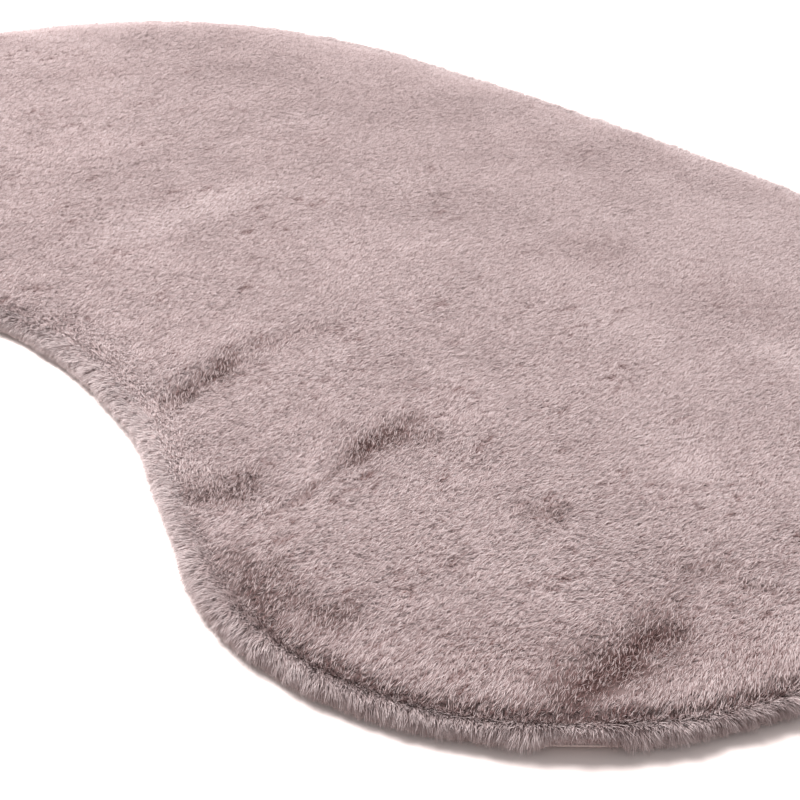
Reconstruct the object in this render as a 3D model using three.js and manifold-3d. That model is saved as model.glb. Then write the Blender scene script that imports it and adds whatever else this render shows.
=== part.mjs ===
// Organic shaped shag rug: a kidney-shaped panel of dense long pile on a plain cloth backing.
// Millimetres, +Z up, +X along the rug's long axis, and the hollow side of the kidney faces -Y.
// The origin is at the middle of the underside, where the rug rests on the floor.
import * as THREE from "three";
import Module from "manifold-3d";

const wasm = await Module();
wasm.setup();

// Driving sizes
const PILE_HEIGHT = 22; // mean height of the pile's surface over the floor
const BACKING_THICKNESS = 2;
const PIECE_GAP = 0.3; // between the backing and the pile cloth
const HEM_INSET = 9; // from the tips of the rim pile in to the backing's edge
const ROUND_STEPS = 144; // points round the outline, an even number
const CROSS_STEPS = 22; // points across the open field, from edge to edge
const LOCK_COUNT = 220;

// Outline of the pile's tips, anticlockwise from the right end: a smooth closed curve through these points.
const OUTLINE = [
  { x: 798, y: -33 },
  { x: 778, y: 159 },
  { x: 674, y: 329 },
  { x: 504, y: 423 },
  { x: 303, y: 453 },
  { x: 94, y: 460 },
  { x: -140, y: 457 },
  { x: -394, y: 434 },
  { x: -600, y: 338 },
  { x: -731, y: 177 },
  { x: -798, y: -38 },
  { x: -768, y: -261 },
  { x: -646, y: -424 },
  { x: -459, y: -459 },
  { x: -261, y: -393 },
  { x: -63, y: -330 },
  { x: 125, y: -341 },
  { x: 269, y: -401 },
  { x: 398, y: -454 },
  { x: 535, y: -439 },
  { x: 669, y: -350 },
  { x: 750, y: -208 },
];

// Section of the pile cloth's rim, from the underside over the rounded edge to the open field: how far in
// from the tips, how high as a share of the pile's height, and what the parting takes off that share.
const RIM_SECTION = [
  { inset: 14, rise: 0.26, parted: 0 },
  { inset: 13, rise: 0.7, parted: 0 },
  { inset: 17, rise: 0.87, parted: 0 },
  { inset: 20, rise: 0.93, parted: 0.01 },
  { inset: 25, rise: 0.96, parted: 0.13 },
  { inset: 38, rise: 1, parted: 0 },
];

// The parting is a crease round the rim. It is deep where the edge looks away from the nap, which lies at
// the heading in degrees, and closes where the edge looks with it and in the bay.
const PARTING = { heading: 128, least: 0.05, gain: 1.1, bayX: 95, bayY: -335, bayReach: 225 };
const UNDERSIDE_INSETS = [115, 75, 42, 16]; // rings of the face where the pile cloth lies on the backing

// Swells of the open field: long shallow waves, heading in degrees from +X.
const SWELLS = [
  { wavelength: 330, heading: 28, height: 0.7, phase: 0.4 },
  { wavelength: 210, heading: 101, height: 0.6, phase: 2.1 },
  { wavelength: 145, heading: -37, height: 0.6, phase: 4.0 },
  { wavelength: 92, heading: 68, height: 0.4, phase: 1.2 },
];

// Creases (rise below zero) and ridges of the pile: middle, heading in degrees, length, width and rise.
const FOLDS = [
  { name: "long crease", x: 163, y: -210, heading: 90, length: 230, width: 20, rise: -4 },
  { name: "ridge beside it", x: 128, y: -232, heading: 86, length: 130, width: 24, rise: 2.5 },
  { name: "short crease", x: 322, y: -237, heading: 82, length: 90, width: 20, rise: -3 },
  { name: "ridge below it", x: 352, y: -252, heading: 77, length: 100, width: 22, rise: 2 },
  { name: "thin crease", x: 339, y: -348, heading: 87, length: 70, width: 14, rise: -2.5 },
  { name: "near band", x: 635, y: -295, heading: 77, length: 140, width: 26, rise: -3 },
  { name: "left crease", x: -265, y: -30, heading: 63, length: 120, width: 16, rise: -2.5 },
  { name: "bay dent", x: -76, y: -300, heading: 20, length: 70, width: 22, rise: -2 },
  { name: "far crease", x: 125, y: 397, heading: -23, length: 150, width: 18, rise: -2 },
];

// Gap in the near rim, where the pile is short, the hem shows and the edge stands a little off the floor.
// No lock grows where the gap's share is past bare.
const GAP = { x: 654, y: -353, reach: 30, spread: 3, bare: 0.5, lift: 2.2, liftReach: 110 };

// Locks of the rim: where they leave the pile, how they bend out and down over the edge, how big they are,
// the root as a share of the knee, and how uneven they are. Each second lock is raised by the stagger.
const LOCK = {
  rootInset: 21,
  rootHeight: 10.5,
  kneeInset: 7,
  kneeHeight: 8.5,
  stagger: 4,
  tipInset: 2,
  tipHeight: 1.5,
  width: 11.5,
  widthSwing: 0.12,
  thickness: 7,
  rootSize: 0.8,
  wander: 0.12,
  swing: 3.5,
  beat: 2.4,
  slowBeat: 0.71,
};

/** Closed smooth curve through a table's points. */
function closedCurve(rows) {
  const points = rows.map(({ x, y }) => new THREE.Vector3(x, y, 0));
  return new THREE.CatmullRomCurve3(points, true, "catmullrom");
}

const outlineCurve = closedCurve(OUTLINE);

/** How near a place is to the gap in the rim: 1 at its middle, falling to 0 past its reach. */
function gapShare(x, y) {
  const away = Math.hypot(x - GAP.x, y - GAP.y) / GAP.reach;
  return Math.exp(-(away ** 4));
}

/** The level direction that points straight in from the outline at a share of its length. */
function inwardAt(share) {
  const along = outlineCurve.getTangentAt(THREE.MathUtils.euclideanModulo(share, 1));
  return new THREE.Vector3(-along.y, along.x, 0);
}

/** A point on the outline at a share of its length, moved in by the inset, square to the edge. */
function rimPoint(share, inset) {
  const at = outlineCurve.getPointAt(THREE.MathUtils.euclideanModulo(share, 1));
  return at.addScaledVector(inwardAt(share), inset);
}

/** How open the parting is at a share of the outline, from 0 to 1. */
function partingShare(share) {
  const turn = THREE.MathUtils.degToRad(PARTING.heading);
  const facing = inwardAt(share).dot(new THREE.Vector3(Math.cos(turn), Math.sin(turn), 0));
  const { x, y } = rimPoint(share, 0);
  const fromBay = Math.hypot(x - PARTING.bayX, y - PARTING.bayY) / PARTING.bayReach;
  const outsideBay = 1 - Math.exp(-(fromBay ** 6));
  return THREE.MathUtils.clamp(PARTING.least + PARTING.gain * facing, 0, 1) * outsideBay;
}

/** Height of the lumps at a place on the pile: the swells, the folds and nothing else. */
function lumps(x, y) {
  let height = 0;
  for (const swell of SWELLS) {
    const turn = THREE.MathUtils.degToRad(swell.heading);
    const along = x * Math.cos(turn) + y * Math.sin(turn);
    height += swell.height * Math.sin((2 * Math.PI * along) / swell.wavelength + swell.phase);
  }
  for (const fold of FOLDS) {
    const turn = THREE.MathUtils.degToRad(fold.heading);
    const dx = x - fold.x;
    const dy = y - fold.y;
    const along = (dx * Math.cos(turn) + dy * Math.sin(turn)) / (fold.length / 2);
    const across = (dy * Math.cos(turn) - dx * Math.sin(turn)) / fold.width;
    height += fold.rise * Math.exp(-(along ** 4) - across ** 2);
  }
  return height;
}

/** How far the rug's edge stands off the floor at a place. */
function lift(x, y) {
  const away = Math.hypot(x - GAP.x, y - GAP.y) / GAP.liftReach;
  return GAP.lift * Math.max(0, 1 - away ** 2) ** 2;
}

/** Triangles of the strips between rings, each a loop of the same count of points. */
function stripTriangles(ringCount, count) {
  const triangles = [];
  for (let ring = 0; ring < ringCount - 1; ring++) {
    for (let i = 0; i < count; i++) {
      const next = (i + 1) % count;
      const [a, b] = [ring * count + i, ring * count + next];
      const [c, d] = [a + count, b + count];
      triangles.push([a, b, d], [a, d, c]);
    }
  }
  return triangles;
}

/** Triangles that fill a ring of a stack as one flat face: 0 is the lowest ring, which faces down. */
function flatFace(rings, ring) {
  const first = rings.slice(0, ring).flat().length;
  const corners = rings[ring].map(({ x, y }) => new THREE.Vector2(x, y));
  return THREE.ShapeUtils.triangulateShape(corners, []).map(([a, b, c]) =>
    ring === 0 ? [a, c, b] : [first + a, first + b, first + c],
  );
}

/** A closed solid from points and triangles that face out. */
function solidFrom(points, triangles) {
  const vertProperties = new Float32Array(points.flatMap((p) => [p.x, p.y, p.z]));
  const triVerts = new Uint32Array(triangles.flat());
  return new wasm.Manifold(new wasm.Mesh({ numProp: 3, vertProperties, triVerts }));
}

/** A named mesh of a solid, with its own material. */
function meshOf(solid, name, look) {
  const { vertProperties, triVerts } = solid.getMesh();
  const geometry = new THREE.BufferGeometry();
  geometry.setAttribute("position", new THREE.BufferAttribute(vertProperties, 3));
  geometry.setIndex(new THREE.BufferAttribute(triVerts, 1));
  geometry.computeVertexNormals();
  const mesh = new THREE.Mesh(geometry, new THREE.MeshStandardMaterial(look));
  mesh.name = name;
  return mesh;
}

/** One ring round the outline: the inset and height may change from place to place. */
function rimRing(insetAt, heightAt) {
  return Array.from({ length: ROUND_STEPS }, (_, i) => {
    const share = i / ROUND_STEPS;
    const point = rimPoint(share, insetAt(rimPoint(share, 0)));
    point.z = heightAt(point, share) + lift(point.x, point.y);
    return point;
  });
}

/** A ring at one inset and one height, but for the lift at the gap. */
function flatRing(inset, height) {
  return rimRing(
    () => inset,
    () => height,
  );
}

/** One ring of the rim's section: it moves out to the hem at the gap, and the lumps come in with row. */
function sectionRing({ inset, rise, parted }, row) {
  const lumpShare = THREE.MathUtils.smoothstep(row, 1, RIM_SECTION.length - 1);
  const atGap = Math.max(HEM_INSET + 1, inset - GAP.spread);
  return rimRing(
    ({ x, y }) => THREE.MathUtils.lerp(inset, atGap, gapShare(x, y)),
    ({ x, y }, share) => {
      const shareOfHeight = rise - parted * partingShare(share);
      return shareOfHeight * PILE_HEIGHT + lumpShare * lumps(x, y);
    },
  );
}

/** Height of the open field's surface at a place. */
function fieldHeight(x, y) {
  return PILE_HEIGHT + lumps(x, y) + lift(x, y);
}

/**
 * The open field, in rungs across the rug: each joins a point of the far edge to its partner on the near
 * edge. Adds the points between them, and returns the triangles. The ring's numbers start at first.
 */
function fieldRungs(points, ring, first) {
  const half = ROUND_STEPS / 2;
  const rungs = [];
  for (let i = 0; i <= half; i++) {
    const partner = (ROUND_STEPS - i) % ROUND_STEPS;
    const rung = [first + i];
    for (let step = 1; step < CROSS_STEPS && i % half > 0; step++) {
      const point = ring[i].clone().lerp(ring[partner], step / CROSS_STEPS);
      point.z = fieldHeight(point.x, point.y);
      rung.push(points.push(point) - 1);
    }
    rungs.push([...rung, first + partner]);
  }
  const corner = (rung, step) => rung[Math.min(step, rung.length - 1)];
  const triangles = [];
  for (let i = 0; i < half; i++) {
    for (let step = 0; step < CROSS_STEPS; step++) {
      const [a, b] = [corner(rungs[i], step), corner(rungs[i], step + 1)];
      const [c, d] = [corner(rungs[i + 1], step), corner(rungs[i + 1], step + 1)];
      if (a !== b) triangles.push([a, d, b]);
      if (c !== d) triangles.push([a, c, d]);
    }
  }
  return triangles;
}

/** The pile cloth's body: its flat underside, rings over its rim, then the rungs of the field. */
function pileSlab() {
  const rings = UNDERSIDE_INSETS.map((inset) => flatRing(inset, BACKING_THICKNESS + PIECE_GAP));
  RIM_SECTION.forEach((section, row) => rings.push(sectionRing(section, row)));
  const points = rings.flat();
  const field = fieldRungs(points, rings.at(-1), points.length - ROUND_STEPS);
  return solidFrom(points, [
    ...flatFace(rings, 0),
    ...stripTriangles(rings.length, ROUND_STEPS),
    ...field,
  ]);
}

/** One lock of three sides: a root inside the pile, a knee over the edge and a tip near the floor. */
function rimLock(index) {
  const unevenness = Math.sin(index * LOCK.beat) + Math.sin(index * LOCK.slowBeat);
  const share = (index + LOCK.wander * unevenness) / LOCK_COUNT;
  const upper = index % 2;
  const width = LOCK.width * (1 + LOCK.widthSwing * Math.sin(index * LOCK.slowBeat));
  const section = (inset, height, size) => {
    const side = (size * width) / 2 / outlineCurve.getLength();
    const [left, right, crown] = [-side, side, 0].map((aside) => rimPoint(share + aside, inset));
    const level = height + lift(crown.x, crown.y);
    left.z = right.z = level - (size * LOCK.thickness) / 2;
    crown.z = level + (size * LOCK.thickness) / 2;
    return [left, right, crown];
  };
  const raised = upper * LOCK.stagger;
  const root = section(LOCK.rootInset, LOCK.rootHeight + raised, LOCK.rootSize);
  const knee = section(LOCK.kneeInset - upper, LOCK.kneeHeight + raised, 1);
  const tipInset = LOCK.tipInset * (1 + unevenness / 2);
  const tip = rimPoint(share + (LOCK.swing * unevenness) / outlineCurve.getLength(), tipInset);
  tip.z = LOCK.tipHeight * (1 + upper);
  const triangles = [[0, 2, 1]];
  for (const [i, j] of [[0, 1], [1, 2], [2, 0]]) {
    triangles.push([i, j, j + 3], [i, j + 3, i + 3], [i + 3, j + 3, 6]);
  }
  return solidFrom([...root, ...knee, tip], triangles);
}

/** The locks all round the rim, but for the gap. */
function rimLocks() {
  const locks = [];
  for (let index = 0; index < LOCK_COUNT; index++) {
    const { x, y } = rimPoint(index / LOCK_COUNT, 0);
    if (gapShare(x, y) < GAP.bare) locks.push(rimLock(index));
  }
  return locks;
}

/** The backing cloth: a thin flat panel under the pile cloth. */
function backingPanel() {
  const upperInsets = [HEM_INSET, ...UNDERSIDE_INSETS.toReversed()];
  const rings = [
    ...upperInsets.toReversed().map((inset) => flatRing(inset, 0)),
    ...upperInsets.map((inset) => flatRing(inset, BACKING_THICKNESS)),
  ];
  return solidFrom(rings.flat(), [
    ...flatFace(rings, 0),
    ...stripTriangles(rings.length, ROUND_STEPS),
    ...flatFace(rings, rings.length - 1),
  ]);
}

const furCloth = wasm.Manifold.union([pileSlab(), ...rimLocks()]);

const rug = new THREE.Group();
rug.name = "organic_shag_rug";
rug.add(
  meshOf(furCloth, "fur_pile", { color: 0xbeaaa9, roughness: 0.95, metalness: 0 }),
  meshOf(backingPanel(), "backing", { color: 0xa8958f, roughness: 0.85, metalness: 0 }),
);

export default rug;
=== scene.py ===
"""An organic, kidney-shaped shag rug lying on a pale floor: dense soft pile on a thin cloth backing."""

import bpy
import numpy as np
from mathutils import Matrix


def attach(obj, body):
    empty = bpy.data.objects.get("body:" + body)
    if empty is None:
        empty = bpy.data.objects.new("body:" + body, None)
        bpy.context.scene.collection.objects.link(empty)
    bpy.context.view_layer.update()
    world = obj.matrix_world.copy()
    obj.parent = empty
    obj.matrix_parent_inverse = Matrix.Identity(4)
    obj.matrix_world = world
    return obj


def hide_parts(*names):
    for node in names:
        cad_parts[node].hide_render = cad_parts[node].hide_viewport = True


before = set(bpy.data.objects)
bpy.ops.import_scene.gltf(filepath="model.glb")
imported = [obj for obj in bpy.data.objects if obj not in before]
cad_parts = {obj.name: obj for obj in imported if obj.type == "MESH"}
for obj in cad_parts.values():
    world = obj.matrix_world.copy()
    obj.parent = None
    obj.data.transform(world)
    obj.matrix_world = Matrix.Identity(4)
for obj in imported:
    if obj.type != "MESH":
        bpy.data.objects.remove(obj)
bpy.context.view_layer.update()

# Camera: above the rug's near right side, looking along its diagonal, so that the rug runs out of the
# picture to the left and to the right. Colours are shown as they are, with no film curve.
CAMERA_PLACE = (1.0568, -0.9204, 0.7168)
CAMERA_TURN = (57.0, 0.0, 45.0)
camera_data = bpy.data.cameras.new("camera")
camera_data.sensor_width = 36.0
camera_data.lens = 67.5
camera = bpy.data.objects.new("camera", camera_data)
camera.location = CAMERA_PLACE
camera.rotation_euler = np.radians(CAMERA_TURN)
bpy.context.scene.collection.objects.link(camera)
bpy.context.scene.camera = camera
bpy.context.scene.view_settings.view_transform = "Standard"

# Floor: one wide pale square just under the backing, so that the two faces don't fight. It is matt and a
# little warm, which warms the shadow along the rim.
FLOOR_HALF = 6.0
FLOOR_DROP = 0.0004
FLOOR_COLOUR = (0.84, 0.73, 0.705, 1)
floor_mesh = bpy.data.meshes.new("floor")
floor_corners = np.array([(-1, -1), (1, -1), (1, 1), (-1, 1)]) * FLOOR_HALF
floor_points = np.column_stack([floor_corners, np.full(4, -FLOOR_DROP)])
floor_mesh.from_pydata(floor_points.tolist(), [], [(0, 1, 2, 3)])
floor = bpy.data.objects.new("floor", floor_mesh)
bpy.context.scene.collection.objects.link(floor)
floor_paint = bpy.data.materials.new("white_floor")
floor_paint.use_nodes = True
floor_finish = floor_paint.node_tree.nodes["Principled BSDF"].inputs
floor_finish["Base Color"].default_value = FLOOR_COLOUR
floor_finish["Roughness"].default_value = 0.9
floor_finish["Specular IOR Level"].default_value = 0.1
floor_mesh.materials.append(floor_paint)

# Light: a white sky all round, and one large soft lamp high beyond the rug's far left side. The lamp's
# slant shows the grain of the pile and leaves a thin soft shadow along the near rim.
SKY_STRENGTH = 0.6
LAMP_PLACE = (-3.6, 0.2, 5.2)
LAMP_WIDTH = 3.0
LAMP_WATTS = 1068.0
sky = bpy.data.worlds.new("white_sky")
sky.use_nodes = True
sky.node_tree.nodes["Background"].inputs["Color"].default_value = (1, 1, 1, 1)
sky.node_tree.nodes["Background"].inputs["Strength"].default_value = SKY_STRENGTH
bpy.context.scene.world = sky
lamp_data = bpy.data.lights.new("soft_lamp", "AREA")
lamp_data.shape = "DISK"
lamp_data.size = LAMP_WIDTH
lamp_data.energy = LAMP_WATTS
lamp = bpy.data.objects.new("soft_lamp", lamp_data)
lamp.location = LAMP_PLACE
lamp.rotation_euler = lamp.location.to_track_quat("Z", "Y").to_euler()
bpy.context.scene.collection.objects.link(lamp)

# Backing: one panel of plain cloth, cut to the kidney a little inside the tips of the pile, with its hem
# turned in. It lies flat and carries the pile cloth, and stands a little off the floor at the gap, the
# short stretch of the near rim where the pile is short.
OUTLINE = np.array(
    [
        (798, -33), (778, 159), (674, 329), (504, 423), (303, 453), (94, 460), (-140, 457),
        (-394, 434), (-600, 338), (-731, 177), (-798, -38), (-768, -261), (-646, -424),
        (-459, -459), (-261, -393), (-63, -330), (125, -341), (269, -401), (398, -454),
        (535, -439), (669, -350), (750, -208),
    ]
) / 1000
CURVE_STEPS = 400
EDGE_STEPS = 4400
GAP = dict(x=0.656, y=-0.357, reach=0.026)
LIFT = dict(x=0.656, y=-0.357, reach=0.100, height=0.0048)
BACKING_ROUND = 360
BACKING_COLOUR = (0.45, 0.36, 0.34, 1)
# The panel's section from its underside, round its turned edge, to its top: how far in from the outline,
# and how high. One wide face closes each side.
BACKING_SECTION = np.array(
    [
        (0.115, 0), (0.075, 0), (0.042, 0), (0.016, 0), (0.0095, 0), (0.009, 0.001), (0.0095, 0.002),
        (0.016, 0.002), (0.042, 0.002), (0.115, 0.002),
    ]
)


def smooth_loop(corners, steps):
    """
    A closed Catmull-Rom curve: each stretch is a cubic that leaves its corner in parallel with the line
    between the two corners on either side.
    """
    t = (np.arange(steps) / steps)[:, None]
    before, start, end, after = (np.roll(corners, -k, axis=0)[:, None] for k in (-1, 0, 1, 2))
    curve = start + 0.5 * (
        t * (end - before)
        + t**2 * (2 * before - 5 * start + 4 * end - after)
        + t**3 * (3 * start - before - 3 * end + after)
    )
    return curve.reshape(-1, 2)


def evenly(loop, count):
    """The same loop as count points, read at even steps of its running length, and that length."""
    closed = np.vstack([loop, loop[:1]])
    run = np.concatenate([[0], np.cumsum(np.linalg.norm(np.diff(closed, axis=0), axis=1))])
    at = np.arange(count) / count * run[-1]
    return np.column_stack([np.interp(at, run, closed[:, k]) for k in (0, 1)]), run[-1]


# The direction that looks in from the edge is the one from its last point to its next, turned left.
EDGE, EDGE_LENGTH = evenly(smooth_loop(OUTLINE, CURVE_STEPS), EDGE_STEPS)
EDGE_INWARD = np.roll(EDGE, -1, axis=0) - np.roll(EDGE, 1, axis=0)
EDGE_INWARD = EDGE_INWARD[:, ::-1] * (-1, 1) / np.linalg.norm(EDGE_INWARD, axis=1, keepdims=True)


def rim_point(share, inset):
    """
    The point of the outline at a share of its length, moved in by the inset, square to the edge, and the
    direction that looks in there. Both are read between the two nearest points of the edge.
    """
    at = np.mod(share, 1) * len(EDGE)
    low = at.astype(int) % len(EDGE)
    part = (at - np.floor(at))[..., None]
    place = EDGE[low] * (1 - part) + EDGE[(low + 1) % len(EDGE)] * part
    inward = EDGE_INWARD[low] * (1 - part) + EDGE_INWARD[(low + 1) % len(EDGE)] * part
    return place + inward * np.asarray(inset)[..., None], inward


def away_from(place, spot):
    """The distance of a place from the middle of a spot, divided by the spot's reach."""
    return np.hypot(place[..., 0] - spot["x"], place[..., 1] - spot["y"]) / spot["reach"]


def lift(place):
    """How far the rug stands off the floor: one minus the squared distance from the gap, squared."""
    return LIFT["height"] * np.clip(1 - away_from(place, LIFT) ** 2, 0, None) ** 2


def grid_faces(rows, columns):
    """Faces of a grid of points, row by row, with its last column joined to its first."""
    row, column = np.meshgrid(np.arange(rows - 1), np.arange(columns), indexing="ij")
    a = row * columns + column
    b = row * columns + (column + 1) % columns
    return np.stack([a, b, b + columns, a + columns], -1).reshape(-1, 4)


def cloth_mesh(name, points, faces):
    """A smooth mesh of points and of faces with any number of corners."""
    mesh = bpy.data.meshes.new(name)
    mesh.from_pydata(points.reshape(-1, 3), [], faces)
    mesh.polygons.foreach_set("use_smooth", np.ones(len(mesh.polygons), bool))
    return mesh


def rug_piece(mesh, material, node):
    """The mesh as a piece of the rug: it stands for a node and takes the finish of a slot."""
    mesh.materials.append(material)
    piece = bpy.data.objects.new(mesh.name, mesh)
    bpy.context.scene.collection.objects.link(piece)
    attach(piece, "root")
    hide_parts(node)
    return piece


backing_cloth = bpy.data.materials.new("backing_cloth")
backing_cloth.use_nodes = True
backing_finish = backing_cloth.node_tree.nodes["Principled BSDF"].inputs
backing_finish["Base Color"].default_value = BACKING_COLOUR
backing_finish["Roughness"].default_value = 0.9

share = np.arange(BACKING_ROUND) / BACKING_ROUND
place, _ = rim_point(share[None, :], np.repeat(BACKING_SECTION[:, :1], BACKING_ROUND, axis=1))
points = np.dstack([place, BACKING_SECTION[:, 1:] + lift(place)]).reshape(-1, 3)
faces = grid_faces(len(BACKING_SECTION), BACKING_ROUND).tolist()
faces += [list(range(BACKING_ROUND))[::-1], list(range(len(points) - BACKING_ROUND, len(points)))]
backing = rug_piece(cloth_mesh("backing_panel", points, faces), backing_cloth, "backing")

# Pile body: the dense felted depth of the pile that shows between its strands, as one closed cushion of
# cloth on the backing. It follows the swells, the creases and the rounded rim. Its colour is painted shade,
# the shade deep among the strands, and deeper painted shade where the pile stands open or parts.
PILE_HEIGHT = 0.022
UNDERSIDE = 0.0023
BODY_DEPTH = 0.0028
BODY_ROUND, BODY_RIM, BODY_CROSS = 360, 27, 72
UNDER_INSETS = [[0.115], [0.042], [0.018]]
BODY_TOP_FROM = 0.010
# The body's colours: the fur in painted shade, as deep among the strands, and in deeper painted shade for
# the gaps where the pile stands open or parts. Near the parting that deeper shade reaches this far in.
BODY_SHADE, BODY_DEEP_SHADE = (0.34, 0.26, 0.255, 1), (0.045, 0.025, 0.023, 1)
BODY_PARTED = dict(reach=0.010, dark=0.9)
BODY_MAP_ENDS = (0.01, 0.99)
SWELLS = (
    dict(wavelength=0.330, heading=28, height=0.0007, phase=0.4),
    dict(wavelength=0.210, heading=101, height=0.0006, phase=2.1),
    dict(wavelength=0.145, heading=-37, height=0.0006, phase=4.0),
    dict(wavelength=0.092, heading=68, height=0.0004, phase=1.2),
)
FOLDS = (
    dict(x=0.163, y=-0.210, heading=90, length=0.230, width=0.020, rise=-0.0040),
    dict(x=0.128, y=-0.232, heading=86, length=0.130, width=0.024, rise=0.0025),
    dict(x=0.322, y=-0.237, heading=82, length=0.090, width=0.020, rise=-0.0030),
    dict(x=0.352, y=-0.252, heading=77, length=0.100, width=0.022, rise=0.0020),
    dict(x=0.339, y=-0.348, heading=87, length=0.070, width=0.014, rise=-0.0025),
    dict(x=0.635, y=-0.295, heading=77, length=0.140, width=0.026, rise=-0.0030),
    dict(x=-0.265, y=-0.030, heading=63, length=0.120, width=0.016, rise=-0.0025),
    dict(x=-0.076, y=-0.300, heading=20, length=0.050, width=0.018, rise=-0.0010),
    dict(x=0.125, y=0.397, heading=-23, length=0.150, width=0.018, rise=-0.0020),
)
# The rounded rim from the foot of its side, at 0, to the open field, at 1: how far in from the outline, and
# how high as a share of the pile's height. The lumps and the parting start a little way up it.
RIM_SECTION = np.array(
    [
        (0.0105, 0.26), (0.0090, 0.50), (0.0100, 0.68), (0.0130, 0.80), (0.018, 0.88), (0.025, 0.94),
        (0.040, 1.0),
    ]
)
LUMPS_FROM = 0.2
VALLEY_FROM = 0.4
RIM_SINKS_IN = 0.35
GAP_BULGE = 0.003
# The parting: along the near rim the field's pile lies inwards and the rim's pile hangs outwards, and
# between them the pile opens. In the bay the pile lies smooth up to the rim.
PARTING = dict(heading=128, least=0.05, gain=1.1, inset=0.0225, width=0.0060, depth=0.0038)
PARTING_SHIFTS = (
    dict(x=0.41, y=-0.42, reach=0.090, shift=0.010),
    dict(x=0.62, y=-0.38, reach=0.070, shift=-0.003),
    dict(x=0.72, y=-0.27, reach=0.080, shift=-0.004),
)
BAY = dict(x=0.095, y=-0.335, reach=0.225)
# Patches of the nap, in millimetres and degrees: the middle, the heading, the length and half the width of
# each. Stands is how far the pile stands up and parts there, and tone how much painted light or painted
# shade its tips take, for how the nap there catches the light. The patches that stand open come first, then
# those that only take painted light or shade.
NAP = (
    # x, y, heading, length, width, stands, tone
    (153, -261, 97, 125, 13, 1.0, -0.24),
    (155, -152, 80, 100, 12, 0.6, -0.20),
    (325, -220, 103, 105, 18, 1.0, -0.20),
    (346, -198, 60, 90, 13, 0.8, -0.14),
    (288, -352, 75, 85, 24, 0.9, -0.15),
    (392, -405, -25, 95, 22, 0.9, -0.20),
    (447, -391, 5, 85, 18, 0.9, -0.22),
    (341, -315, 92, 105, 4, 0.9, -0.50),
    (629, -286, 92, 165, 32, 1.0, -0.38),
    (493, -200, 15, 45, 12, 0.8, -0.20),
    (612, -168, 40, 60, 14, 0.7, -0.15),
    (654, -155, 30, 50, 12, 0.7, -0.15),
    (-70, -309, 20, 36, 10, 0.4, -0.20),
    (345, -205, 80, 150, 55, 0.3, 0.0),
    (560, -360, 30, 330, 60, 0.3, -0.10),
    (552, -335, 69, 60, 36, 0.2, -0.12),
    (420, 180, 10, 170, 40, 0.1, -0.12),
    (240, 185, 10, 90, 25, 0.1, -0.08),
    (-350, 320, 0, 1000, 170, 0.0, -0.07),
    (150, 420, 0, 500, 80, 0.0, -0.08),
    (680, -215, 100, 110, 40, 0.0, -0.10),
    (-523, 110, 43, 130, 26, 0.0, -0.12),
    (60, -223, 72, 75, 22, 0.0, -0.12),
    (243, 166, 23, 105, 40, 0.0, -0.12),
    (643, -117, -28, 40, 22, 0.0, -0.12),
    (683, -221, 60, 60, 26, 0.0, -0.12),
    (-120, -80, 84, 250, 24, 0.0, 0.34),
    (591, -362, 40, 90, 8, 0.0, 0.14),
    (553, -250, 0, 75, 25, 0.0, 0.12),
    (530, -55, -45, 90, 18, 0.0, 0.12),
    (487, 140, 0, 80, 25, 0.0, 0.14),
    (363, 68, 20, 90, 25, 0.0, 0.11),
    (404, 269, 10, 110, 25, 0.0, 0.10),
    (195, 415, -20, 120, 20, 0.0, 0.10),
    (-610, 180, 80, 150, 40, 0.0, 0.02),
    (-619, 44, 60, 90, 30, 0.0, 0.04),
    (205, -205, 92, 140, 22, 0.0, 0.11),
    (380, -300, 80, 90, 25, 0.0, 0.10),
    (-111, -75, 71, 90, 26, 0.0, 0.25),
    (-217, 189, 100, 70, 24, 0.0, 0.14),
    (-14, 394, 0, 150, 26, 0.0, 0.14),
    (308, 347, -10, 110, 30, 0.0, 0.16),
    (98, -308, -15, 125, 28, 0.0, 0.22),
    (325, -284, 68, 50, 20, 0.0, 0.16),
    (472, -41, 94, 65, 28, 0.0, 0.12),
)
# How far a patch's outline wanders, the size of the bends, and the seeds of its two directions. A patch
# narrower than WANDER_WIDTH, in millimetres, wanders less.
WANDERS = (dict(far=0.012, cell=0.030, seeds=(31, 32)), dict(far=0.006, cell=0.011, seeds=(33, 34)))
WANDER_WIDTH = 16


def in_bay(place):
    """From 1 in the bay to 0 away from it: a bell of the sixth power of the distance, so flat on top."""
    return np.exp(-(away_from(place, BAY) ** 6))


def against_nap(place, inward):
    """
    From 0 to 1, how squarely the pile lies against an edge whose inward direction is given: the cosine of
    its angle with the parting's heading, made a little stronger, and none of it in the bay.
    """
    turn = np.radians(PARTING["heading"])
    facing = inward[..., 0] * np.cos(turn) + inward[..., 1] * np.sin(turn)
    return np.clip(PARTING["least"] + PARTING["gain"] * facing, 0, 1) * (1 - in_bay(place))


def parting_inset(place):
    """How far in from the edge the pile parts: a constant inset, plus a bell round each shifted stretch."""
    inset = np.full(place.shape[:-1], PARTING["inset"])
    for stretch in PARTING_SHIFTS:
        inset += stretch["shift"] * np.exp(-(away_from(place, stretch) ** 2))
    return inset


def fold_shares(fold, place):
    """
    How strongly a fold acts at a place, from 0 to 1: a bell across it, times a flatter one, of the fourth
    power, along it. Also returns the signed distance across it, in widths.
    """
    turn = np.radians(fold["heading"])
    dx, dy = place[..., 0] - fold["x"], place[..., 1] - fold["y"]
    along = (dx * np.cos(turn) + dy * np.sin(turn)) / (fold["length"] / 2)
    across = (dy * np.cos(turn) - dx * np.sin(turn)) / fold["width"]
    return np.exp(-(along**4) - across**2), across


def lumps(place):
    """Height of the pile's lumps: long shallow sine swells, and a soft trough or ridge for each fold."""
    height = np.zeros(place.shape[:-1])
    for swell in SWELLS:
        turn = np.radians(swell["heading"])
        along = place[..., 0] * np.cos(turn) + place[..., 1] * np.sin(turn)
        height += swell["height"] * np.sin(2 * np.pi * along / swell["wavelength"] + swell["phase"])
    for fold in FOLDS:
        height += fold["rise"] * fold_shares(fold, place)[0]
    return height


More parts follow.
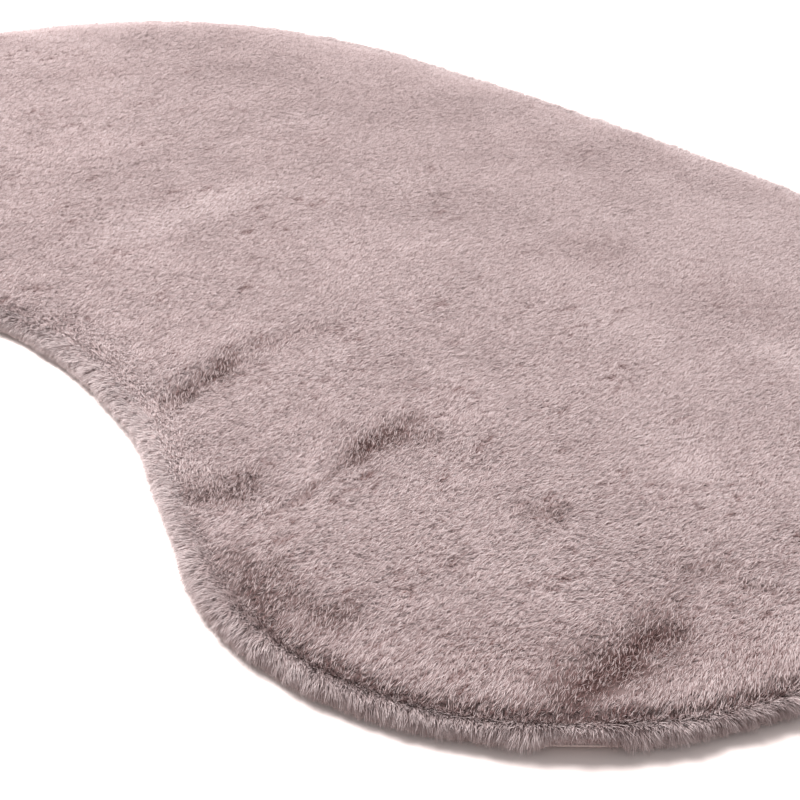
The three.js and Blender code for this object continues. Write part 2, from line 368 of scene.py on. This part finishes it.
def rim_surface(share, across, sunk):
    """
    The rounded rim of the pile: across runs from 0 at the foot of its side to 1 at the open field. It is
    the rim's section, plus the lumps, which fade in from the foot, plus the lift, less the parting's valley.
    Sunk moves the surface down and in. Returns the points, and the direction that looks in.
    """
    step = np.linspace(0, 1, len(RIM_SECTION))
    inset = np.interp(across, step, RIM_SECTION[:, 0])
    rise = np.interp(across, step, RIM_SECTION[:, 1])
    edge, _ = rim_point(share, np.zeros_like(inset))
    inset = inset - GAP_BULGE * np.exp(-(away_from(edge, GAP) ** 4)) + RIM_SINKS_IN * sunk
    place, inward = rim_point(share, inset)
    fade = np.clip((across - LUMPS_FROM) / (1 - LUMPS_FROM), 0, 1)
    height = rise * (PILE_HEIGHT - sunk) + fade**2 * (3 - 2 * fade) * lumps(place) + lift(place)
    from_parting = (inset - RIM_SINKS_IN * sunk - parting_inset(place)) / PARTING["width"]
    valley = np.exp(-(from_parting**2)) * (across > VALLEY_FROM)
    height = height - PARTING["depth"] * valley * against_nap(place, inward)
    return np.concatenate([place, np.maximum(height, UNDERSIDE + lift(place))[..., None]], -1), inward


def between_four(table, low, part):
    """A lattice's value at a place: its four nearest entries, each weighted by how near it is."""
    i, j = low[..., 0], low[..., 1]
    u, v = (part[..., k].reshape(part.shape[:-1] + (1,) * (table.ndim - 2)) for k in (0, 1))
    return (
        table[i, j] * (1 - u) * (1 - v) + table[i + 1, j] * u * (1 - v)
        + table[i, j + 1] * (1 - u) * v + table[i + 1, j + 1] * u * v
    )


def smooth_noise(place, cell, seed):
    """Smooth random hills from -1 to 1: random heights on a square lattice, joined by cubic steps."""
    lattice_size, corner = 600, 1.1
    lattice = np.random.default_rng(seed).uniform(-1, 1, (lattice_size, lattice_size))
    at = (place + corner) / cell
    low = np.floor(at).astype(int) % (lattice_size - 1)
    part = at - np.floor(at)
    return between_four(lattice, low, part**2 * (3 - 2 * part))


def nap_at(place):
    """
    How far the pile stands open at a place, from 0 to 1, which is the most that any patch gives, and the
    painted light or shade of its tone, which is the sum of all patches. Smooth noise bends the outlines.
    much its tone changes, which is the sum of all patches. Smooth noise bends the outlines.
    """
    opened, shade = np.zeros(len(place)), np.zeros(len(place))
    wander = np.zeros_like(place)
    for bend in WANDERS:
        both = [smooth_noise(place, bend["cell"], seed) for seed in bend["seeds"]]
        wander += bend["far"] * np.column_stack(both)
    for x, y, heading, length, width, stands, tone in NAP:
        patch = dict(x=x / 1000, y=y / 1000, heading=heading, length=length / 1000, width=width / 1000)
        share, _ = fold_shares(patch, place + wander * min(1, width / WANDER_WIDTH))
        opened = np.maximum(opened, share * stands)
        shade += share * tone
    return opened, shade


def inset_of(place):
    """
    Distance in from the outline, negative outside, and its slope, which looks straight in. Each is read
    between the points of a coarse lattice, where it is the distance to the nearest point of the edge.
    """
    step, batch, reach_x, reach_y = 0.004, 4000, 0.82, 0.48
    xs, ys = np.arange(-reach_x, reach_x, step), np.arange(-reach_y, reach_y, step)
    lattice = np.stack(np.meshgrid(xs, ys, indexing="ij"), -1).reshape(-1, 2)
    edge, inward = EDGE[::2], EDGE_INWARD[::2]
    depth = np.empty(len(lattice))
    for start in range(0, len(lattice), batch):
        apart = lattice[start : start + batch, None] - edge
        away = np.einsum("ijk,ijk->ij", apart, apart)
        near = away.argmin(1)
        rows = np.arange(len(near))
        inside = np.sign(np.einsum("ij,ij->i", apart[rows, near], inward[near]))
        depth[start : start + batch] = np.sqrt(away[rows, near]) * inside
    depth = depth.reshape(len(xs), len(ys))
    slope = np.stack(np.gradient(depth, step), -1)
    at = (place - (xs[0], ys[0])) / step
    low = np.clip(np.floor(at).astype(int), 0, (len(xs) - 2, len(ys) - 2))
    return between_four(depth, low, at - low), between_four(slope, low, at - low)


def mapped_pile(name, roughness):
    """A matt pile material, and the two coordinates of its piece's own map, which its colours follow."""
    material = bpy.data.materials.new(name)
    material.use_nodes = True
    nodes, links = material.node_tree.nodes, material.node_tree.links
    finish = nodes["Principled BSDF"].inputs
    finish["Roughness"].default_value = roughness
    finish["Specular IOR Level"].default_value = 0.0
    own_map = nodes.new("ShaderNodeUVMap")
    own_map.uv_map = "OFBake"
    split = nodes.new("ShaderNodeSeparateXYZ")
    links.new(own_map.outputs[0], split.inputs[0])
    return material, finish, split.outputs


def two_tones(material, source, first, last, full_at):
    """A colour that runs evenly from the first, where the source is 0, to the last, from full_at on."""
    ramp = material.node_tree.nodes.new("ShaderNodeValToRGB")
    ramp.color_ramp.elements[0].color = first
    ramp.color_ramp.elements[1].color = last
    ramp.color_ramp.elements[1].position = full_at
    material.node_tree.links.new(source, ramp.inputs[0])
    return ramp.outputs[0]


# The body's rings run from its underside, out and up round the rim, to the open field. The field is a grid
# that goes straight across from the last ring's right half to its left half.
body_share = np.arange(BODY_ROUND) / BODY_ROUND
body_under, _ = rim_point(body_share[None, :], np.repeat(UNDER_INSETS, BODY_ROUND, axis=1))
body_under = np.concatenate([body_under, (UNDERSIDE + lift(body_under))[..., None]], -1)
body_rim, _ = rim_surface(
    np.repeat(body_share[None, :], BODY_RIM, axis=0),
    np.repeat(np.linspace(0, 1, BODY_RIM)[:, None], BODY_ROUND, axis=1),
    BODY_DEPTH,
)
rings = np.concatenate([body_under, body_rim]).reshape(-1, 3)
half = BODY_ROUND // 2
right_side = body_rim[-1][: half + 1]
left_side = body_rim[-1][-np.arange(half + 1) % BODY_ROUND]
cross = np.linspace(0, 1, BODY_CROSS + 1)[:, None, None]
field = (right_side * (1 - cross) + left_side * cross)[1:-1, 1:-1]
field[..., 2] = PILE_HEIGHT - BODY_DEPTH + lumps(field) + lift(field)
body_points = np.vstack([rings, field.reshape(-1, 3)])

# The grid's border is the last ring itself. At each end of the grid one column shrinks to a point of the
# ring, so the faces there are triangles.
ring = len(rings) - BODY_ROUND
ids = np.zeros((BODY_CROSS + 1, half + 1), int)
ids[0] = ring + np.arange(half + 1)
ids[-1] = ring + (-np.arange(half + 1)) % BODY_ROUND
ids[:, 0], ids[:, -1] = ring, ring + half
ids[1:-1, 1:-1] = len(rings) + np.arange(field[..., 0].size).reshape(field.shape[:2])
quads = np.stack([ids[:-1, 1:], ids[1:, 1:], ids[1:, :-1], ids[:-1, :-1]], -1)
body_faces = grid_faces(len(UNDER_INSETS) + BODY_RIM, BODY_ROUND).tolist()
body_faces += quads[:, 1:-1].reshape(-1, 4).tolist()
body_faces += quads[:, 0, :3].tolist() + quads[:, -1, 1:].tolist()
body_faces += [list(range(BODY_ROUND))[::-1]]

felted_pile, felted_finish, felted_map = mapped_pile("felted_pile", 1.0)
felted_colour = two_tones(felted_pile, felted_map["X"], BODY_SHADE, BODY_DEEP_SHADE, 1.0)
felted_pile.node_tree.links.new(felted_colour, felted_finish["Base Color"])
pile_body = rug_piece(cloth_mesh("pile_body", body_points, body_faces), felted_pile, "fur_pile")

# The body's map holds, across, how deep its painted shade is: as far as the pile stands open, or as near as
# the parting is. Nothing reads the map up and down, so that stays at its middle.
body_opened, _ = nap_at(body_points[:, :2])
body_inset, body_slope = inset_of(body_points[:, :2])
from_parting = (body_inset - parting_inset(body_points[:, :2])) / BODY_PARTED["reach"]
body_parted = np.exp(-(from_parting**2)) * against_nap(body_points[:, :2], body_slope)
body_deep_shade = np.clip(np.maximum(body_opened, BODY_PARTED["dark"] * body_parted), *BODY_MAP_ENDS)
body_deep_shade *= body_points[:, 2] > BODY_TOP_FROM
body_map = np.column_stack([body_deep_shade, np.full(len(body_deep_shade), 0.5)])
corners = np.empty(len(pile_body.data.loops), np.int32)
pile_body.data.loops.foreach_get("vertex_index", corners)
body_layer = pile_body.data.uv_layers.new(name="OFBake")
body_layer.uv.foreach_set("vector", body_map[corners].astype(np.float32).ravel())

# Field strands: the combed pile of the open field, dusty mauve and matt, one flat triangle for each strand.
# It leans one way, across the rug from its hollow side, gathers in small tufts, and stands up and scatters
# where it opens.
# The strand colours, in painted shade and lit. Each root is painted darker than its tip, as painted shade
# deep in the pile.
SHADED_ROOT, SHADED_TIP = (0.060, 0.028, 0.026, 1), (0.19, 0.114, 0.109, 1)
LIGHT_ROOT, LIGHT_TIP = (0.27, 0.190, 0.184, 1), (0.632, 0.543, 0.538, 1)
TIP_COLOUR_FROM = 0.88
FIELD_PIECES = 4
# The tips stand in a grid of equal triangles, whose rows are this share of the spacing apart. Each tip, and
# the middle of each tuft, is off its place by up to the jitter, as a share of its cell.
FIELD_SPACING = 0.00131
ROW_SHARE = 0.866
JITTER = 0.45
FIELD_OVERLAP = 0.003
FIELD_REACH = dict(x=0.80, y=0.46)
FIELD_LENGTH = dict(full=0.0052, least=0.8, most=1.1, scattered=0.1)
FIELD_WIDTH = dict(least=0.00045, most=0.0009, scattered=0.2)
FIELD_EDGE = dict(insets=(0.019, 0.025, 0.040), heights=(0.87, 0.92, 1))
NAP_HEADING = 65
# The size of a tuft and the seed of its places. The size of each smooth noise's hills, and its seed.
FIELD_TUFT = (0.0016, 7)
HILLS = dict(
    turn_broad=(0.15, 1), turn_middle=(0.06, 2), turn_fine=(0.018, 3), lean=(0.05, 4), height=(0.012, 5),
    tone_fine=(0.016, 9), tone_broad=(0.05, 10), beside_broad=(0.03, 41), beside_fine=(0.007, 42),
    shaded_crack=(0.0032, 51), cluster=(0.035, 52),
)
# The hollow side of the rug is more ruffled than the side across from it.
RUFFLED = dict(at_line=0.75, line=-0.12, per_metre=1.6, least=0.15, most=1)
# Small cracks in the pile, stretched along the nap, that sit in clusters: the strands there sink a little
# and are darkened with painted shade.
SHADED_CRACKS = dict(stretch=2.2, gain=5, above=0.42, sink=0.0010, dark=0.8)
CLUSTER = dict(gain=3, above=0.1, opened=2)
# Beside the parting the pile is raised and darkened with painted shade, in uneven amounts, and less so at
# the rug's right end.
BESIDE = dict(reach=0.011, even=0.8, broad=0.4, fine=0.5, most=1.2)
RIGHT_END = dict(start=0.68, over=0.06, fades_by=0.4)
# Painted light on the field's pile in the bay, strongest at its rim.
BAY_PAINTED_LIGHT = dict(tone=0.22, reach=0.070)
# Degrees by which each cause turns a strand, or leans it from the upright.
TURN = dict(broad=7, middle=10, ruffled=14, stray=24)
TUFT_TURN = dict(calm=8, ruffled=6, scattered=80)
BROAD_GAIN = 2.5
STRAY_CALMED = 0.3
LEAN = dict(calm=66, broad=3, stray=7, raised=30, least=12, most=78)
TUFT_LEAN = dict(calm=2, ruffled=4, scattered=16)
# Strands part along the bottom of a fold, and turn in from a rim that they lie against.
FROM_FOLDS = dict(width=0.9, force=0.7, gain=2)
FROM_RIM = dict(inset=0.085, over=0.06, force=1.3, gain=4, against=0.3, beside=0.8)
UNEVEN = dict(hills=0.0003, stray=0.0003, sunk=0.0010, tuft=0.0008)
GATHERED = dict(calm=0.05, ruffled=0.10, scattered=0.60)
FIELD_TWIST = 0.6
# A strand is lit as if it were round: its normals look up, spread to both sides and lean towards its tip.
FIELD_SHADE = dict(leaf=0.2, round=0.8, aim=0.2)
# Tone: its level and hills, its rise where ruffled, the painted shade beside the parting, and its cap, which
# is lowered as painted shade where the pile is disturbed.
TONE = dict(calm=0.72, hills=0.03, ruffled=0.05, beside=0.25, most=0.96, most_scattered=0.30)
TONE_TUFT = dict(calm=0.02, ruffled=0.05, scattered=0.36)
TONE_STRAY = dict(calm=0.07, ruffled=2.6, scattered=3)
DARK_STRANDS = dict(share=0.12, tone=0.55)
# The map of a strand stops just short of its picture's edges.
STRAND_MAP_ENDS = (0.004, 0.996)
rng = np.random.default_rng(11)


def tufts(place, size, seed):
    """
    The tuft that each place belongs to: the nearest of one random point in each lattice cell. Returns the
    middles of the tufts and three random values from -1 to 1 for each.
    """
    columns, rows, corner = 1400, 900, (1.1, 0.7)
    table = np.random.default_rng(seed).uniform(-1, 1, (columns, rows, 5))
    cell = np.floor((place + corner) / size).astype(int)
    best, nearest = np.full(len(place), np.inf), np.zeros_like(place)
    character = np.zeros((len(place), 3))
    for dx in (-1, 0, 1):
        for dy in (-1, 0, 1):
            other = cell + (dx, dy)
            row = table[other[:, 0] % columns, other[:, 1] % rows]
            middle = (other + 0.5 + JITTER * row[:, :2]) * size - corner
            away = np.linalg.norm(middle - place, axis=1)
            closer = away < best
            best[closer], nearest[closer], character[closer] = away[closer], middle[closer], row[closer, 2:]
    return nearest, character


def strand_points(root, tip, way, aim, twist, width):
    """
    One triangle for each strand, from a root of the given width to a point. The root lies level, square to
    the way that the strand points, and is then turned by twist about its aim. Also returns its direction.
    """
    level = np.column_stack([way[:, 1], -way[:, 0], np.zeros(len(way))])
    side = level * np.cos(twist)[:, None] + np.cross(level, aim) * np.sin(twist)[:, None]
    half_width = side * (width / 2)[:, None]
    return np.stack([root - half_width, root + half_width, tip], 1), side


def strand_piece(name, points, normals, tone):
    """
    One piece of strands, with three points and three normals for each. Its map holds the strand's tone, and
    a depth that runs from 0 at the root to 1 at the tip.
    """
    count = len(points)
    mesh = bpy.data.meshes.new(name)
    mesh.vertices.add(3 * count)
    mesh.vertices.foreach_set("co", points.astype(np.float32).ravel())
    mesh.loops.add(3 * count)
    mesh.loops.foreach_set("vertex_index", np.arange(3 * count, dtype=np.int32))
    mesh.polygons.add(count)
    mesh.polygons.foreach_set("loop_start", np.arange(0, 3 * count, 3, dtype=np.int32))
    mesh.polygons.foreach_set("use_smooth", np.ones(count, bool))
    mesh.update()
    strand_map = np.column_stack([np.repeat(tone, 3), np.tile([0.0, 0.0, 1.0], count)])
    layer = mesh.uv_layers.new(name="OFBake")
    layer.uv.foreach_set("vector", np.clip(strand_map, *STRAND_MAP_ENDS).astype(np.float32).ravel())
    normals = normals / np.linalg.norm(normals, axis=2, keepdims=True)
    mesh.normals_split_custom_set_from_vertices(normals.reshape(-1, 3).tolist())
    return rug_piece(mesh, pile_strands, "fur_pile")


# A strand's colour runs from its root, darker with painted shade, to its tip, once for the fur in painted
# shade and once for the fur lit, and its tone mixes the two.
pile_strands, strand_finish, strand_split = mapped_pile("pile_strands", 0.8)
shaded_strand = two_tones(pile_strands, strand_split["Y"], SHADED_ROOT, SHADED_TIP, TIP_COLOUR_FROM)
light_strand = two_tones(pile_strands, strand_split["Y"], LIGHT_ROOT, LIGHT_TIP, TIP_COLOUR_FROM)
mix = pile_strands.node_tree.nodes.new("ShaderNodeMix")
mix.data_type = "RGBA"
pile_strands.node_tree.links.new(strand_split["X"], mix.inputs["Factor"])
pile_strands.node_tree.links.new(shaded_strand, mix.inputs["A"])
pile_strands.node_tree.links.new(light_strand, mix.inputs["B"])
pile_strands.node_tree.links.new(mix.outputs["Result"], strand_finish["Base Color"])

# The tips stand on a staggered grid, each a little off its place, from just outside the parting inwards.
xs = np.arange(-FIELD_REACH["x"], FIELD_REACH["x"], FIELD_SPACING)
ys = np.arange(-FIELD_REACH["y"], FIELD_REACH["y"], FIELD_SPACING * ROW_SHARE)
grid = np.stack(np.meshgrid(xs, ys, indexing="ij"), -1)
grid[:, 1::2, 0] += FIELD_SPACING / 2
place = grid.reshape(-1, 2) + rng.uniform(-JITTER, JITTER, (grid.size // 2, 2)) * FIELD_SPACING
inset, slope = inset_of(place)
keep = inset > parting_inset(place) - FIELD_OVERLAP
place, inset, slope = place[keep], inset[keep], slope[keep]
count = len(place)
centre, character = tufts(place, *FIELD_TUFT)

# How open, ruffled, cracked and near the parting each tip is, and the painted light and shade that the
# nap's patches give it. Scatter is how far the pile is disturbed: where it stands open or lies beside the
# parting.
opened, shade = nap_at(place)
# Painted light in the bay, fading in from its rim.
shade += BAY_PAINTED_LIGHT["tone"] * in_bay(place) * np.exp(-((inset / BAY_PAINTED_LIGHT["reach"]) ** 2))
ruffled = RUFFLED["at_line"] - RUFFLED["per_metre"] * (place[:, 1] - RUFFLED["line"])
ruffled = np.clip(ruffled, RUFFLED["least"], RUFFLED["most"])
lie = np.radians(NAP_HEADING)
down_nap = place @ (np.cos(lie), np.sin(lie)) / SHADED_CRACKS["stretch"]
combed = np.column_stack([down_nap, place @ (-np.sin(lie), np.cos(lie))])
cluster = ruffled * CLUSTER["gain"] * (smooth_noise(place, *HILLS["cluster"]) - CLUSTER["above"])
cluster = np.clip(cluster + CLUSTER["opened"] * opened, 0, 1)
shaded_crack = cluster * np.clip(SHADED_CRACKS["gain"] * (smooth_noise(combed, *HILLS["shaded_crack"]) - SHADED_CRACKS["above"]), 0, 1)
against = against_nap(place, slope)
parted = parting_inset(place)
beside = np.exp(-((np.maximum(inset - parted, 0) / BESIDE["reach"]) ** 2)) * against
right_end = np.clip((place[:, 0] - RIGHT_END["start"]) / RIGHT_END["over"], 0, 1)
beside *= 1 - RIGHT_END["fades_by"] * right_end
beside_noise = BESIDE["even"] + BESIDE["broad"] * smooth_noise(place, *HILLS["beside_broad"])
beside_noise += BESIDE["fine"] * smooth_noise(place, *HILLS["beside_fine"])
beside *= np.clip(beside_noise, 0, BESIDE["most"])
scatter = np.maximum(opened, beside)
full_scatter = np.clip(scatter, 0, 1)

# The way each strand points: the nap's heading, turned by broad and fine noise and by its tuft, then away
# from the bottom of the folds, and inwards near a rim that it lies against.
tuft_turn = TUFT_TURN["calm"] + TUFT_TURN["ruffled"] * ruffled + TUFT_TURN["scattered"] * scatter
heading = (
    NAP_HEADING
    + TURN["broad"] * np.tanh(BROAD_GAIN * smooth_noise(place, *HILLS["turn_broad"]))
    + TURN["middle"] * smooth_noise(place, *HILLS["turn_middle"])
    + TURN["ruffled"] * ruffled * smooth_noise(place, *HILLS["turn_fine"])
    + tuft_turn * character[:, 0]
    + rng.normal(0, TURN["stray"], count) * (1 - STRAY_CALMED * scatter)
)
way = np.column_stack([np.cos(np.radians(heading)), np.sin(np.radians(heading))])
for fold in FOLDS:
    if fold["rise"] > 0:
        continue
    strength, across = fold_shares(dict(fold, width=fold["width"] * FROM_FOLDS["width"]), place)
    turn = np.radians(fold["heading"])
    push = FROM_FOLDS["force"] * strength * np.tanh(FROM_FOLDS["gain"] * across)
    way += push[:, None] * (-np.sin(turn), np.cos(turn))
near_rim = np.clip((FROM_RIM["inset"] - inset) / FROM_RIM["over"], 0, 1)
near_rim *= 1 - FROM_RIM["beside"] * np.clip(beside, 0, 1)
push = FROM_RIM["force"] * near_rim * np.tanh(FROM_RIM["gain"] * (against - FROM_RIM["against"]))
way += push[:, None] * slope
way /= np.linalg.norm(way, axis=1, keepdims=True)
tuft_lean = TUFT_LEAN["calm"] + TUFT_LEAN["ruffled"] * ruffled + TUFT_LEAN["scattered"] * scatter
lean = (
    LEAN["calm"]
    + LEAN["broad"] * smooth_noise(place, *HILLS["lean"])
    + tuft_lean * character[:, 1]
    + rng.normal(0, LEAN["stray"], count)
    - LEAN["raised"] * scatter
)
lean = np.radians(np.clip(lean, LEAN["least"], LEAN["most"]))
aim = np.column_stack([way * np.sin(lean)[:, None], np.cos(lean)])
length = FIELD_LENGTH["full"] * rng.uniform(FIELD_LENGTH["least"], FIELD_LENGTH["most"], count)
length *= 1 - FIELD_LENGTH["scattered"] * scatter

# The height of each tip: the pile's surface with its lumps and the parting's valley, and fine unevenness.
# The tips gather a little towards the middle of their tuft.
high = PILE_HEIGHT * np.interp(inset, FIELD_EDGE["insets"], FIELD_EDGE["heights"])
high += lumps(place) + lift(place)
high -= PARTING["depth"] * against * np.exp(-(((inset - parted) / PARTING["width"]) ** 2))
high += UNEVEN["hills"] * ruffled * (character[:, 2] + smooth_noise(place, *HILLS["height"]))
high += rng.normal(0, UNEVEN["stray"], count) * (1 + ruffled)
high -= (UNEVEN["sunk"] * rng.random(count) ** 2 - UNEVEN["tuft"] * character[:, 2]) * scatter
high -= SHADED_CRACKS["sink"] * shaded_crack
gathered = GATHERED["calm"] + GATHERED["ruffled"] * ruffled + GATHERED["scattered"] * full_scatter
tip = np.column_stack([place + gathered[:, None] * (centre - place), high])
root = np.column_stack([place, high]) - aim * length[:, None]
twist = rng.uniform(-FIELD_TWIST, FIELD_TWIST, count)
width = rng.uniform(FIELD_WIDTH["least"], FIELD_WIDTH["most"], count)
width *= 1 - FIELD_WIDTH["scattered"] * scatter
points, side = strand_points(root, tip, way, aim, twist, width)
shade_up = (0.0, 0.0, 1.0) + FIELD_SHADE["leaf"] * np.cross(side, aim)
rounded = FIELD_SHADE["round"] * side
normals = np.stack([shade_up - rounded, shade_up + rounded, shade_up + FIELD_SHADE["aim"] * aim], 1)

# Tone runs from 0, the fur in painted shade, to 1, the fur lit. It differs at random, takes the painted
# light and shade of the nap's patches and the bay, and painted shade beside the parting and in the cracks,
# and is capped darker, as painted shade, where the pile is disturbed. About one strand in eight is darker,
# the more so where the pile is ruffled.
tone = TONE["calm"] + TONE["hills"] * ruffled * smooth_noise(place, *HILLS["tone_fine"])
tone += TONE["hills"] * smooth_noise(place, *HILLS["tone_broad"])
tuft_tone = TONE_TUFT["calm"] + TONE_TUFT["ruffled"] * ruffled + TONE_TUFT["scattered"] * scatter
tone += tuft_tone * character[:, 2]
stray_tone = 1 + TONE_STRAY["ruffled"] * ruffled + TONE_STRAY["scattered"] * scatter
tone += rng.normal(0, TONE_STRAY["calm"], count) * stray_tone
tone += ruffled * (TONE["ruffled"] - DARK_STRANDS["tone"] * (rng.random(count) < DARK_STRANDS["share"]))
# Painted light and shade of the nap's patches and the bay, and painted shade beside the parting and in the
# cracks.
tone += shade - TONE["beside"] * beside - SHADED_CRACKS["dark"] * shaded_crack
# Where the pile is disturbed the lightest tips are held darker, as painted shade.
tone = np.minimum(tone, TONE["most"] - TONE["most_scattered"] * full_scatter)
order = np.argsort(place[:, 0], kind="stable")
strand_pieces = [
    strand_piece(f"pile_field_{number}", points[part], normals[part], tone[part])
    for number, part in enumerate(np.array_split(order, FIELD_PIECES), 1)
]

# Rim strands: the longer pile of the rim, of the same fur, rooted all over its rounded side and combed out
# and down over the edge in tufts. It is short at the gap and hangs lower on either side of it.
RIM_STRANDS = 165000
ROOT_DEPTH = 0.0036
RIM_TUFT = (0.0045, 17)
# The side of the rim as a flat band: where it starts, and how wide it is. Its tufts are laid out on it.
RIM_BAND = dict(start=-1.0, width=0.030)
RIM_LIMIT = dict(stray=0.0015, calm=0.005)
RIM_HILLS = dict(comb_broad=(0.03, 21), comb_fine=(0.011, 22), tone=(0.02, 23), length=(0.012, 24))
TORN_FROM = 0.72
COMB = dict(broad=0.4, fine=0.3, tuft=0.2, aside=0.6, gathered=20, stray=0.2, stray_torn=5)
COMBED_ASIDE = dict(x=0.47, y=-0.45, reach=0.09)
# The slope of the rim is taken between a point just above the root and one below it.
SLOPE_FROM, SLOPE_UP, SLOPE_DOWN = 0.10, 0.04, 0.10
# Degrees by which the strands stand off the rim's surface, at four heights on its side.
STAND = dict(up=(0, 0.3, 0.6, 1), off=(44, 36, 26, 15), calm=14, tuft=9, stray=7, torn=70)
RIM_LENGTH = dict(up=(0, 0.5, 1), full=(0.0095, 0.0115, 0.0100), least=0.75, most=1.15)
RIM_LENGTH_SHARES = dict(tuft=0.15, hills=0.15, calm=0.30, torn=0.45)
HANGS = dict(away=1.45, over=0.4, below=0.7, steeper=30, longer=0.4)
GAP_TRIM = dict(below=0.75, cut=0.75)
LOWEST_TIP = dict(least=0.0008, more=0.001)
RIM_WIDTH = dict(least=0.0005, most=0.0009)
RIM_TWIST = 0.5
RIM_SHADE = dict(round=0.6, aim=0.2)
# The rim's tone: random, with painted light in the bay, painted shade towards its foot, and painted shade
# with random tone at the ragged edge by the parting.
RIM_TONE = dict(calm=0.76, bay=0.18, hills=0.08, tuft=0.10, stray=0.12, bay_calmed=0.6)
FOOT_SHADE = dict(all=0.05, against=0.36, power=1.5)
TORN_TONE = dict(tone=0.40, stray=0.8, dark=0.7)

# Each strand starts at a share of the outline and at a height on the side, from 0 at its foot to 1 at the
# parting, where the limit of the rim's pile is uneven. Torn is how much it belongs to that ragged edge.
share = rng.uniform(0, 1, RIM_STRANDS)
up_side = rng.uniform(0, 1, RIM_STRANDS)
edge_place, inward = rim_point(share, np.zeros(RIM_STRANDS))
against = against_nap(edge_place, inward)
torn = against * np.clip((up_side - TORN_FROM) / (1 - TORN_FROM), 0, 1)
limit = parting_inset(edge_place) + RIM_LIMIT["stray"] * rng.normal(0, 1, RIM_STRANDS)
limit += RIM_LIMIT["calm"] * (1 - against)
across = up_side * np.interp(limit, RIM_SECTION[1:, 0], np.linspace(0, 1, len(RIM_SECTION))[1:])
root, _ = rim_surface(share, across, ROOT_DEPTH)
run = np.column_stack([share * EDGE_LENGTH + RIM_BAND["start"], RIM_BAND["width"] * up_side])
centre, character = tufts(run, *RIM_TUFT)
away = away_from(edge_place, GAP)
hangs = np.exp(-(((away - HANGS["away"]) / HANGS["over"]) ** 2)) * (up_side < HANGS["below"])

# The way each strand points: straight out from the edge, combed aside by noise and towards its tuft. It
# dips as the surface does there, less the angle by which it stands off it.
outward = -inward / np.linalg.norm(inward, axis=1, keepdims=True)
above, _ = rim_surface(share, np.maximum(across, SLOPE_FROM) + SLOPE_UP, ROOT_DEPTH)
below, _ = rim_surface(share, np.maximum(across, SLOPE_FROM) - SLOPE_DOWN, ROOT_DEPTH)
fall = below - above
steep = np.arctan2(-fall[:, 2], np.einsum("ij,ij->i", fall[:, :2], outward))
comb = COMB["broad"] * smooth_noise(edge_place, *RIM_HILLS["comb_broad"])
comb += COMB["fine"] * smooth_noise(edge_place, *RIM_HILLS["comb_fine"]) + COMB["tuft"] * character[:, 0]
comb += COMB["aside"] * np.exp(-(away_from(edge_place, COMBED_ASIDE) ** 2))
comb += COMB["gathered"] * (centre[:, 0] - run[:, 0])
comb += rng.normal(0, COMB["stray"], RIM_STRANDS) * (1 + COMB["stray_torn"] * torn)
way = outward + comb[:, None] * np.column_stack([-outward[:, 1], outward[:, 0]])
way /= np.linalg.norm(way, axis=1, keepdims=True)
stand = np.interp(up_side, STAND["up"], STAND["off"]) + STAND["calm"] * up_side * (1 - against)
stand += STAND["tuft"] * character[:, 1] + rng.normal(0, STAND["stray"], RIM_STRANDS)
stand += torn * rng.uniform(0, STAND["torn"], RIM_STRANDS) - HANGS["steeper"] * hangs
dip = steep - np.radians(stand)
aim = np.column_stack([way * np.cos(dip)[:, None], -np.sin(dip)])

# The length of each strand: by its height on the side, its tuft and smooth noise, cut short at the gap.
length = np.interp(up_side, RIM_LENGTH["up"], RIM_LENGTH["full"])
length *= rng.uniform(RIM_LENGTH["least"], RIM_LENGTH["most"], RIM_STRANDS)
length_noise = RIM_LENGTH_SHARES["hills"] * smooth_noise(edge_place, *RIM_HILLS["length"])
length *= 1 + RIM_LENGTH_SHARES["tuft"] * character[:, 2] + length_noise
length *= 1 - RIM_LENGTH_SHARES["calm"] * (1 - against) * up_side
length *= 1 - RIM_LENGTH_SHARES["torn"] * torn
length *= 1 - GAP_TRIM["cut"] * np.exp(-(away**4)) * (up_side < GAP_TRIM["below"])
length *= 1 + HANGS["longer"] * hangs
tip = root + aim * length[:, None]
tip[:, 2] = np.maximum(tip[:, 2], LOWEST_TIP["least"] + LOWEST_TIP["more"] * rng.random(RIM_STRANDS))
twist = rng.uniform(-RIM_TWIST, RIM_TWIST, RIM_STRANDS)
width = rng.uniform(RIM_WIDTH["least"], RIM_WIDTH["most"], RIM_STRANDS)
points, side = strand_points(root, tip, way, aim, twist, width)
over = np.cross(side, aim)
over *= np.sign(over[:, 2:] + 1e-9)
rounded = RIM_SHADE["round"] * side
normals = np.stack([over - rounded, over + rounded, over + RIM_SHADE["aim"] * aim], 1)

# The rim is painted lighter and calmer in the bay, as painted light, and darker towards its foot, most
# where the pile lies against the rim, and at the ragged edge, as painted shade.
bay_share = in_bay(edge_place)
tone = RIM_TONE["calm"] + RIM_TONE["bay"] * bay_share
tone += RIM_TONE["hills"] * smooth_noise(edge_place, *RIM_HILLS["tone"])
strand_tone = RIM_TONE["tuft"] * character[:, 2] + rng.normal(0, RIM_TONE["stray"], RIM_STRANDS)
tone += strand_tone * (1 - RIM_TONE["bay_calmed"] * bay_share)
tone -= (FOOT_SHADE["all"] + FOOT_SHADE["against"] * against**2) * (1 - up_side) ** FOOT_SHADE["power"]
tone += TORN_TONE["tone"] * torn * (rng.normal(0, TORN_TONE["stray"], RIM_STRANDS) - TORN_TONE["dark"])
strand_pieces.append(strand_piece("pile_rim", points, normals, tone))
